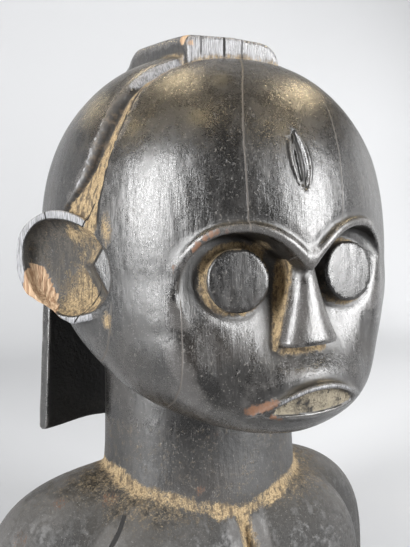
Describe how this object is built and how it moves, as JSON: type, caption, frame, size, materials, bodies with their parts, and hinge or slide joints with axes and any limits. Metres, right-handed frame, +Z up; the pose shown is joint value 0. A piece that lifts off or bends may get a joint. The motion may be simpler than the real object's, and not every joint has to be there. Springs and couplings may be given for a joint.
{
  "type": "reliquary guardian figure bust",
  "caption": "Carved wooden guardian figure, head and shoulders: round face with disc eyes, wedge nose, cup ears, capped coiffure with crest and nape flap, flat underside.",
  "frame": {"origin": "on the flat underside, under the axis of the neck", "axes": "+Z up along the neck; the face looks towards -Y, and the figure's right side is on -X"},
  "size_m": [0.26, 0.2158, 0.3541],
  "materials": {
    "wood": "dark oiled patina with a grey satin sheen, and ochre dust in the hollows"
  },
  "bodies": {
    "root": {"reliquary_figure": "wood"}
  },
  "joints": []
}
